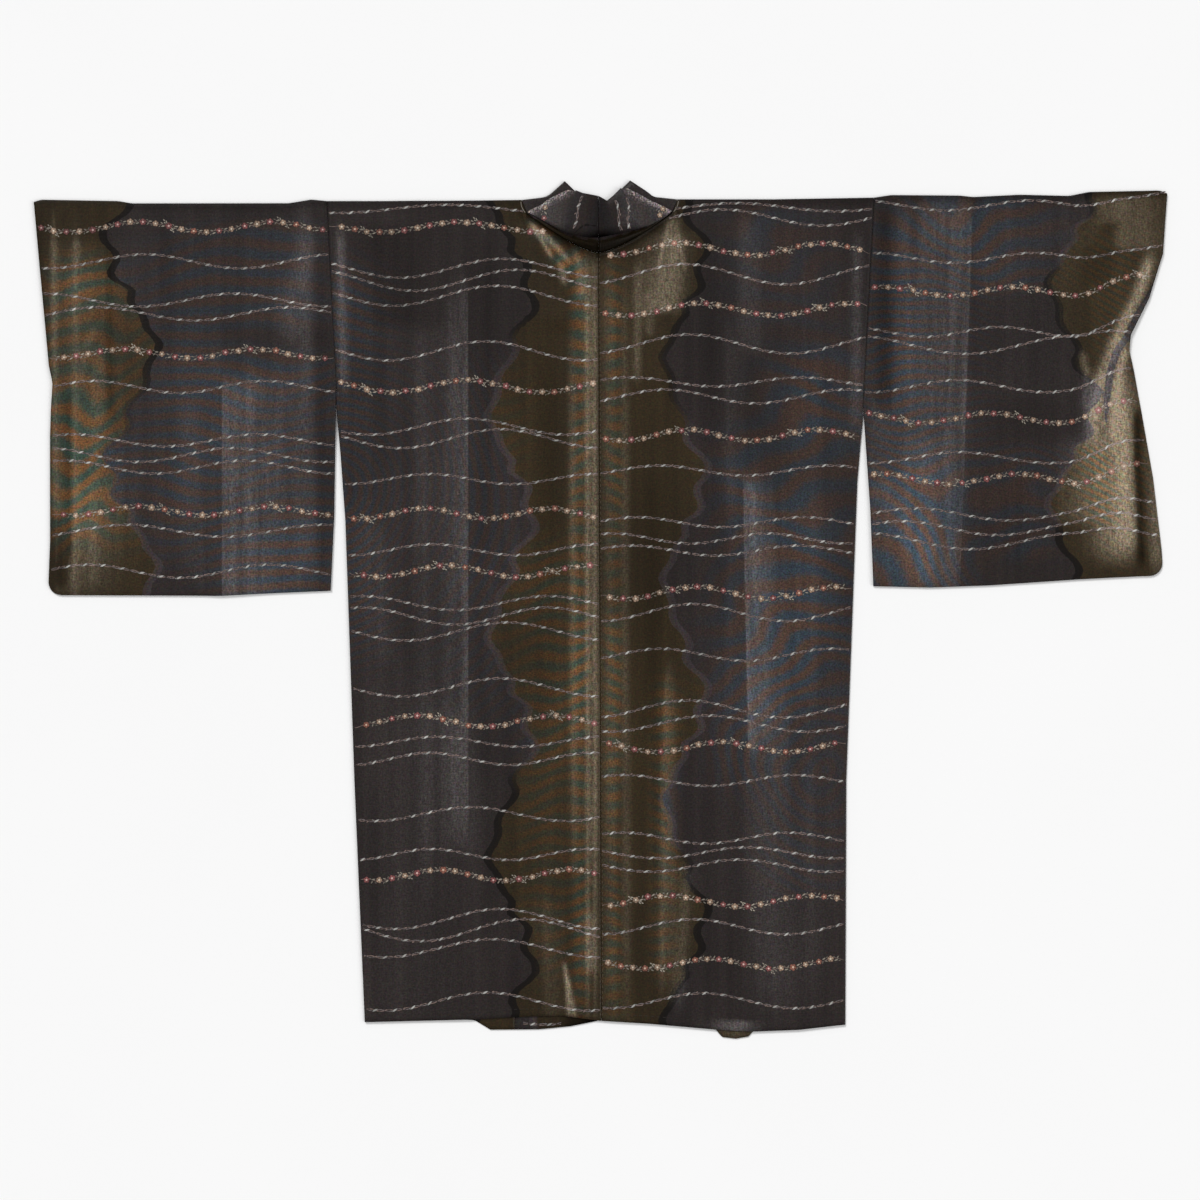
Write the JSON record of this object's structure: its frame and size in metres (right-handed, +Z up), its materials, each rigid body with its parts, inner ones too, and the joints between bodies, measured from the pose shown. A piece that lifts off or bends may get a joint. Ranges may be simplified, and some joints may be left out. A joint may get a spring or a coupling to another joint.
{
  "type": "kimono coat of haori cut, laid flat with its back up",
  "caption": "T-shaped silk coat laid flat, back up, with wide straight sleeves, a centre back seam and a collar turned down behind the neck.",
  "frame": {"origin": "on the ground, under the middle of the coat's outline", "axes": "+X towards the wearer's right sleeve, +Y from the hem to the neck, +Z up from the ground, out of the coat's back"},
  "size_m": [1.3172, 0.9976, 0.0092],
  "materials": {
    "silk": "figured silk with a soft sheen, dark aubergine and olive with flower and vine garlands",
    "silk_sleeve": "the same figured silk",
    "silk_collar": "the same figured silk, on its darker ground"
  },
  "bodies": {
    "root": {"body_left": "silk", "body_right": "silk", "sleeve_left": "silk_sleeve", "sleeve_right": "silk_sleeve", "collar_left": "silk_collar", "collar_right": "silk_collar"}
  },
  "joints": []
}
